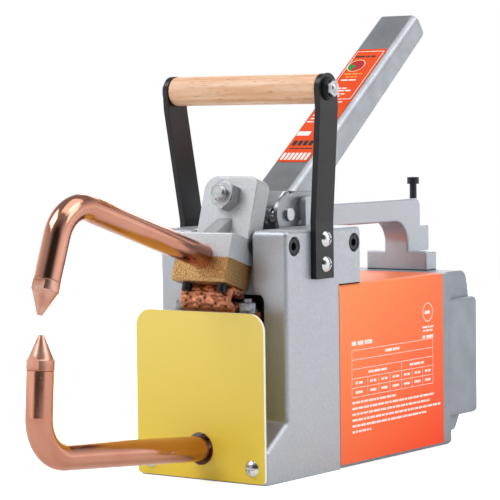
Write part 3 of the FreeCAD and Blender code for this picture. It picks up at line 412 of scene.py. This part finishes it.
for line in ((TABLE_Y[0], TABLE_Y[0] + 0.024, TABLE_Z[1] + 0.0045, 0.0028, 3),
             (middle - 0.010, middle + 0.010, title_z, 0.0019, 5),
             (middle - 0.030, middle - 0.008, heading_z, 0.0016, 7),
             (middle + 0.020, middle + 0.038, heading_z, 0.0016, 8)):
    case_print += words(*line)
for row in (3, 4):
    for start, end in zip(columns[:-1], columns[1:]):
        inset = (end - start) * 0.22
        case_print += words(start + inset, end - inset, (row_z[row] + row_z[row + 1]) / 2, 0.0017, row)
LINE_STEP = 0.0038
for line, length in enumerate((0.052, 0.100, 0.096, 0.108, 0.090, 0.022)):
    line_z = TABLE_Z[0] - 0.0035 - LINE_STEP * line
    case_print += words(TABLE_Y[0], TABLE_Y[0] + length, line_z, 0.0015, 20 + line)
MARK = (film_high.y - 0.0195, 0.0935)
MARK_RING = (0.0058, 0.0064)
for reach, below, height, seed in ((0.007, 0.0100, 0.0013, 31), (0.006, 0.0124, 0.0013, 32),
                                   (0.004, 0.0, 0.0022, 33), (0.007, 0.0166, 0.0022, 34)):
    case_print += words(MARK[0] - reach, MARK[0] + reach, MARK[1] - below, height, seed)


def annulus(centre, radii, place, start=0, sweep=360, steps=40):
    """Points and faces of a flat ring or sector, put in space like stripes; angles in degrees."""
    angle = np.radians(start + np.linspace(0, sweep, steps + 1))
    inner, outer = (np.stack([centre[0] + r * np.cos(angle), centre[1] + r * np.sin(angle)], 1)
                    for r in radii)
    quad = np.stack([inner[:-1], outer[:-1], outer[1:], inner[1:]], 1)
    return place(quad[..., 0], quad[..., 1]).reshape(-1, 3), np.arange(4 * steps).reshape(-1, 4)


for side, name in ((1, "right"), (-1, "left")):
    def on_side(u, v, side=side):
        """Print on one side of the case reads left to right from outside."""
        along = u if side > 0 else film_low.y + film_high.y - u
        return np.stack([np.full_like(u, side * (film_high.x + INK)), along, v], -1)

    points, faces = stripes(case_print, on_side)
    ring_points, ring_faces = annulus(MARK, MARK_RING, on_side)
    mesh_piece("case_print_" + name, np.vstack([points, ring_points]),
               np.vstack([faces, ring_faces + len(points)]), white_ink, "body")

# ---- copper braid ---------------------------------------------------------------------------------
# A flattened tube woven from bundles of bare copper wire.  It is bolted to the output plate, folds forward
# in a loop and ends under the brass clamp.
BRAID_HALF_WIDTH = 0.0180
BRAID_HALF_DEPTH = 0.0021
BUNDLES = 15
WIRES = 6
WIRE_RADIUS = 0.00034
WIRE_STEP = 0.0108
BRAID_STEPS = 84
BRAID_TURNS = 0.62
WEAVE_HEIGHT = 0.34
LOOP_RADIUS = 0.0057
LOWER_RUN = 0.0125
UPPER_RUN = 0.0115
ROCKER_TILT = math.radians(17.5)
loop_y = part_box("copper_braid")[0].y + 0.0035
bottom_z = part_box("bus_plate")[1].z + BRAID_HALF_DEPTH + 0.0002


def braid_centre(t):
    """The fold's line: forward along the plate, round a half circle, and back under the clamp."""
    half_circle = math.pi * LOOP_RADIUS
    s = t * (LOWER_RUN + half_circle + UPPER_RUN)
    first = np.clip(s, 0, LOWER_RUN)
    turn = (np.clip(s, LOWER_RUN, LOWER_RUN + half_circle) - LOWER_RUN) / LOOP_RADIUS
    last = np.clip(s - LOWER_RUN - half_circle, 0, None)
    y = loop_y + LOWER_RUN - first - LOOP_RADIUS * np.sin(turn) + last * math.cos(ROCKER_TILT)
    z = bottom_z + LOOP_RADIUS * (1 - np.cos(turn)) - last * math.sin(ROCKER_TILT)
    return y, z


def stadium(p, half_width, half_depth):
    """Point on a flat tube's outline, p going once round from 0 to 1, as sideways and outward offsets."""
    flat = 2 * (half_width - half_depth)
    bend = math.pi * half_depth
    s = np.mod(p, 1.0) * 2 * (flat + bend)
    far = s > flat + bend
    s = np.where(far, s - flat - bend, s)
    on_flat = s < flat
    angle = np.where(on_flat, 0, (s - flat) / half_depth)
    x = np.where(on_flat, -flat / 2 + s, flat / 2 + half_depth * np.sin(angle))
    n = np.where(on_flat, half_depth, half_depth * np.cos(angle))
    turned = np.where(far, -1, 1)
    return x * turned, n * turned


def tubes(name, paths, radius, sides, material, body):
    """Round wire along each path of an array (wire, step, xyz), with its ends closed."""
    along = np.gradient(paths, axis=1)
    along /= np.linalg.norm(along, axis=2, keepdims=True)
    helper = np.where(np.abs(along[..., :1]) > 0.9, [[[0.0, 1.0, 0.0]]], [[[1.0, 0.0, 0.0]]])
    across = np.cross(along, helper)
    across /= np.linalg.norm(across, axis=2, keepdims=True)
    upward = np.cross(along, across)
    angle = np.linspace(0, 2 * math.pi, sides, endpoint=False)
    rings = (paths[:, :, None] + radius * (np.cos(angle)[:, None] * across[:, :, None]
                                           + np.sin(angle)[:, None] * upward[:, :, None]))
    wires, steps = paths.shape[:2]
    index = np.arange(wires * steps * sides).reshape(wires, steps, sides)
    turned = np.roll(index, -1, axis=2)
    faces = np.stack([index[:, :-1], index[:, 1:], turned[:, 1:], turned[:, :-1]], -1).reshape(-1, 4)
    caps = list(index[:, 0]) + list(index[:, -1][:, ::-1])
    piece = mesh_piece(name, rings.reshape(-1, 3), list(faces) + caps, material, body)
    piece.data.shade_smooth()
    return piece


def braid_wires():
    """Each bundle spirals round the flat tube one way or the other, going over and under the others."""
    t = np.linspace(0, 1, BRAID_STEPS)
    wires = []
    for direction in (1, -1):
        for bundle in range(BUNDLES):
            for wire in range(WIRES):
                spread = (wire - (WIRES - 1) / 2) * WIRE_STEP
                p = bundle / BUNDLES + direction * BRAID_TURNS * t + spread
                weave = np.cos(math.pi * (BUNDLES * direction * 2 * BRAID_TURNS * t + bundle)) * direction
                sideways, outward = stadium(p, BRAID_HALF_WIDTH, BRAID_HALF_DEPTH)
                outward = outward * (1 + WEAVE_HEIGHT * weave)
                bulge = 1 + 0.07 * np.sin(math.pi * t)
                waver = 1 + 0.012 * np.sin(9 * t + bundle)
                y, z = braid_centre(t)
                lift = np.stack([np.gradient(z), -np.gradient(y)], 1)
                lift /= np.linalg.norm(lift, axis=1, keepdims=True)
                wires.append(np.stack([sideways * bulge * waver, y + lift[:, 0] * outward,
                                       z + lift[:, 1] * outward], 1))
    return np.array(wires)


braid_copper = finish("bare braided copper wire", "#D28E6C", 0.3, 1.0)
drift(braid_copper, "#B87252", "#E8A886", 2.2, 3.0)
copper_weave = tubes("copper_weave", braid_wires(), WIRE_RADIUS, 6, braid_copper, None)
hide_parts("copper_braid")
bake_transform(copper_weave)

# ---- rocker ---------------------------------------------------------------------------------------
# The upper half of the clamp and its upright ear are one aluminium die casting, bead blasted and left
# bare, so it is duller and finer grained than the enamelled housing.
cast_aluminium = finish("bead-blasted cast aluminium", "#C2C5CA", 0.46, 0.55)
drift(cast_aluminium, "#BABDC2", "#CACDD1", 1.4, 4.0)
uneven_gloss(cast_aluminium, 0.36, 0.52, 1.0)
skin(cast_aluminium, 0.9, 0.03, 0.6)
paint(cast_aluminium, "rocker_arm")

# ---- zinc-plated hardware -------------------------------------------------------------------------
# Clear-zinc steel: nuts, adjusting screw, toggle links, the handle's tie rod and its domed nuts.  The
# springs are drawn wire, left bare, and the bolts beside the braid have lost their shine.
zinc_steel = finish("clear zinc plated steel", "#C6C8CC", 0.26, 1.0)
drift(zinc_steel, "#AEB1B6", "#C6C8CC", 3.5, 2.0)
uneven_gloss(zinc_steel, 0.28, 0.36, 2.0)
skin(zinc_steel, 2.0, 0.002, 0.3)
paint(zinc_steel, "adjusting_screw", "lock_nut", "toggle_links", "handle_rod", "handle_nuts", "stop_collars")
spring_steel = finish("drawn spring steel", "#85888E", 0.3, 1.0)
drift(spring_steel, "#6E7177", "#9EA1A6", 2.0)
paint(spring_steel, "pressure_spring", "stop_spring", "lever_spring", "fulcrum_clip")
dull_zinc = finish("dull zinc plated steel", "#8B8E93", 0.36, 1.0)
drift(dull_zinc, "#76797E", "#9DA0A5", 2.5, 2.0)
paint(dull_zinc, "braid_bolts")

# ---- lever ----------------------------------------------------------------------------------------
# Two-millimetre steel sheet folded to a channel and welded to its fork.  Both are sprayed one satin
# grey that still looks metallic.
lever_enamel = finish("satin grey enamel on folded steel", "#9DA1A7", 0.34, 0.75)
drift(lever_enamel, "#969AA0", "#A4A8AE", 14.0, 3.0)
uneven_gloss(lever_enamel, 0.3, 0.42, 2.0)
skin(lever_enamel, 1.6, 0.02, 0.5)
paint(lever_enamel, "lever_channel", "lever_fork")

# ---- lever label ----------------------------------------------------------------------------------
# Deeper orange film along the lever's back with print in white, black, gold, red and green ink: a
# frame, a round two-colour duty mark, lines of small print and two block bars, none of it lettered.
lever_film = finish("matt orange film", "#E64E1C", 0.5, Specular_IOR_Level=0.2)
drift(lever_film, "#E24818", "#EA5420", 20.0)
skin(lever_film, 9.0, 0.015)
paint(lever_film, "lever_label")
LEVER_TILT = math.radians(37.5)
LABEL_HEIGHT = 0.0117
pin_low, pin_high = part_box("fulcrum_pin")
pin = (pin_low + pin_high) / 2


def on_lever(x, e):
    """A point of the label's face: x across the lever, e along it from the pivot pin."""
    n = LABEL_HEIGHT + INK
    y = pin.y + e * math.cos(LEVER_TILT) - n * math.sin(LEVER_TILT)
    z = pin.z + e * math.sin(LEVER_TILT) + n * math.cos(LEVER_TILT)
    return np.stack([x, y, z], -1)


FRAME_X = (-0.0109, 0.0107)
FRAME_E = (0.1073, 0.1612)
white_print = [(FRAME_X[0], FRAME_X[1], e - 0.0003, e + 0.0003) for e in FRAME_E]
white_print += [(x - 0.00025, x + 0.00025, FRAME_E[0], FRAME_E[1]) for x in FRAME_X]
SMALL_PRINT = ((0.1286, -0.008, 0.004), (0.1194, -0.009, 0.002), (0.1167, -0.009, 0.006),
               (0.1130, -0.009, 0.003), (0.1107, -0.008, 0.001), (0.1040, -0.010, 0.006),
               (0.0940, -0.009, 0.008), (0.0896, -0.010, 0.009), (0.0860, -0.010, 0.007),
               (0.0825, -0.011, 0.009))
for line, (e, start, end) in enumerate(SMALL_PRINT):
    white_print += words(start, end, e, 0.0013, 50 + line)
white_print += [(x, x + 0.0023, 0.0418, 0.0492) for x in np.linspace(-0.0112, 0.0082, 7)]
white_print.append((-0.0118, -0.0015, 0.0676, 0.0722))
black_print = words(-0.0100, 0.0065, 0.1553, 0.0018, 72) + words(-0.0095, 0.0100, 0.0538, 0.0012, 73)
black_print += [(x, x + 0.0032, 0.0570, 0.0622) for x in np.linspace(-0.0100, 0.0075, 5)]
gold_print = words(-0.0090, 0.0060, 0.1355, 0.0013, 74) + words(-0.0060, 0.0030, 0.1322, 0.0013, 75)
for colour, shade, darker, lighter, bars in (("white", "#F7F1EC", "#F3ECE6", "#FBF7F3", white_print),
                                             ("black", "#1E1A1A", "#191616", "#242020", black_print),
                                             ("gold", "#E9A640", "#E29C34", "#EFB04C", gold_print)):
    ink = finish(colour + " screen ink", shade, 0.5)
    drift(ink, darker, lighter, 5.0)
    points, faces = stripes(bars, on_lever)
    mesh_piece("lever_print_" + colour, points, faces, ink, "lever")

DUTY_MARK = (-0.0040, 0.1450)
DISC = (0.0, 0.0062)
RIM = (0.0062, 0.0067)
DEGREES_PER_FACE = 8
for colour, shade, second_shade, start, sweep, radii in (("red", "#B0151B", "#B0152A", -115, 280, DISC),
                                                         ("green", "#0E8F45", "#0E8F2A", 165, 80, DISC),
                                                         ("white", "#F7F1EC", "#F7F12A", -115, 360, RIM)):
    ink = finish(colour + " duty mark ink", shade, 0.5)
    drift(ink, shade, second_shade, 4.0)
    points, faces = annulus(DUTY_MARK, radii, on_lever, start, sweep, sweep // DEGREES_PER_FACE)
    mesh_piece("duty_mark_" + colour, points, faces, ink, "lever")

# ---- screw threads --------------------------------------------------------------------------------
# Rolled ridges where threads show: at the adjusting screw's end, the ends of the clamp screws and the
# two bare lengths of the trigger screw.


STEPS_PER_TURN = 28
M10_CREST, M10_PITCH, M10_RIDGE = 0.00475, 0.0015, 0.00042
M6_CREST, M6_PITCH, M6_RIDGE = 0.0028, 0.001, 0.00032
M5_CREST, M5_PITCH, M5_RIDGE = 0.0023, 0.0008, 0.00028
UPRIGHT = Vector((0, 0, 1))


def ridges(start, direction, radius, pitch, length):
    """One thread's crest: a helix round a line that runs square to X."""
    turns = length / pitch
    t = np.linspace(0, 1, int(turns * STEPS_PER_TURN) + 2)[:, None]
    side = direction.cross(Vector((1, 0, 0))).normalized()
    other = direction.cross(side)
    angle = 2 * math.pi * turns * t
    return (np.array(start) + length * t * np.array(direction)
            + radius * (np.cos(angle) * np.array(side) + np.sin(angle) * np.array(other)))


ROCKER_PLACE = Vector((0, -0.10555, 0.1405))
rocker_back = Vector((0, math.cos(ROCKER_TILT), -math.sin(ROCKER_TILT)))
rocker_up = Vector((0, math.sin(ROCKER_TILT), math.cos(ROCKER_TILT)))


def on_rocker(x, s, v):
    """A point x across the rocker, s behind its front face and v above the tong's axis."""
    return ROCKER_PLACE + Vector((x, 0, 0)) + s * rocker_back + v * rocker_up


stub = ridges(on_rocker(0, 0.0042, 0.0428), rocker_back, M10_CREST, M10_PITCH, 0.0040)
tubes("adjusting_thread", stub[None], M10_RIDGE, 6, zinc_steel, "rocker")
screw_ends = [ridges(on_rocker(x, 0.008, -0.0207), rocker_up, M6_CREST, M6_PITCH, 0.0046)
              for x in (-0.014, 0.014)]
tubes("clamp_screw_threads", np.array(screw_ends), M6_RIDGE, 6, black_steel, "rocker")
stop_low, stop_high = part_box("stop_screw")
stop_y = (stop_low.y + stop_high.y) / 2
for name, start, length in (("upper", 0.1492, 0.0285), ("lower", 0.1195, 0.0090)):
    crest = ridges((0, stop_y, start), UPRIGHT, M5_CREST, M5_PITCH, length)
    tubes("trigger_thread_" + name, crest[None], M5_RIDGE, 6, black_steel, "plunger")

# ---- trigger spring -------------------------------------------------------------------------------
# The coil under the trigger screw's collar, from the bottom of its counterbore up to the collar.
spring_low, spring_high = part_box("stop_spring")
COIL_WIRE = 0.00045
COIL_RADIUS = 0.00355
COIL_PITCH = 0.00193
coil_height = spring_high.z - spring_low.z - 2 * COIL_WIRE
coil = ridges((0, stop_y, spring_low.z + COIL_WIRE), UPRIGHT, COIL_RADIUS, COIL_PITCH, coil_height)
trigger_spring = tubes("trigger_spring", coil[None], COIL_WIRE, 8, spring_steel, None)
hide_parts("stop_spring")
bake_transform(trigger_spring)

# ---- straps and washers ---------------------------------------------------------------------------
# Twenty by four flat bar, dipped in semi-gloss black enamel.  The cup washers at the ends of the
# handle have the same finish.
black_enamel = finish("semi-gloss black enamel", "#121316", 0.3, Specular_IOR_Level=0.35)
drift(black_enamel, "#0F1012", "#17181B", 12.0, 3.0)
skin(black_enamel, 1.8, 0.015, 0.6)
paint(black_enamel, "strap_left", "strap_right", "handle_washers")

# ---- carry handle ---------------------------------------------------------------------------------
# A turned beech dowel under clear varnish.  The grain is straight and fine along X, with the short
# dark flecks of beech.
beech = finish("varnished beech", "#E8BC98", 0.42, Coat_Weight=0.15, Coat_Roughness=0.25)
grain = between(beech, noise(beech, 3.0, 5.0, (0.05, 1, 1)), "#D99C6C", "#F6D2B2", 0.25, 0.75)
flecks = add_node(beech, "MapRange", {"From Min": 0.62, "From Max": 0.7, "To Max": 0.55},
                  {"Value": noise(beech, 0.8, 1.0, (0.12, 1, 1))})
beech_colour = add_node(beech, "Mix", {"data_type": "RGBA", 7: linear("#A8713F")},
                        {0: flecks.outputs[0], 6: grain})
feed(beech, "Base Color", beech_colour.outputs[2])
skin(beech, 1.2, 0.02, 0.0, (0.08, 1, 1))
paint(beech, "wooden_handle")

# ---- black sheet, gland, washers and switch -------------------------------------------------------
# Thin black sheet under the castings, moulded nylon where the cable enters and beside the rocker, and the
# trigger switch with its red button. Beside the rocker, the pivot washers' black is painted shade for the
# narrow gap there.
# A thin near-black sheet under the castings.
black_sheet = finish("thin black sheet", "#17181A", 0.7)
drift(black_sheet, "#121315", "#202123", 3.0)
paint(black_sheet, "head_gasket", "foot_gasket")
black_nylon_and_gap_shade = finish("moulded black nylon and painted gap shade", "#1B1C1F", 0.45)
drift(black_nylon_and_gap_shade, "#16171A", "#232428", 5.0)
skin(black_nylon_and_gap_shade, 0.8, 0.02, 0.4)
# The pivot washers take this black as painted shade for the narrow gap beside the rocker.
paint(black_nylon_and_gap_shade, "cable_gland", "gland_nut", "trigger_switch", "pivot_washers")
red_button = finish("moulded red polymer", "#B4231C", 0.3)
drift(red_button, "#A81E18", "#BF2A22", 2.0)
paint(red_button, "switch_button")
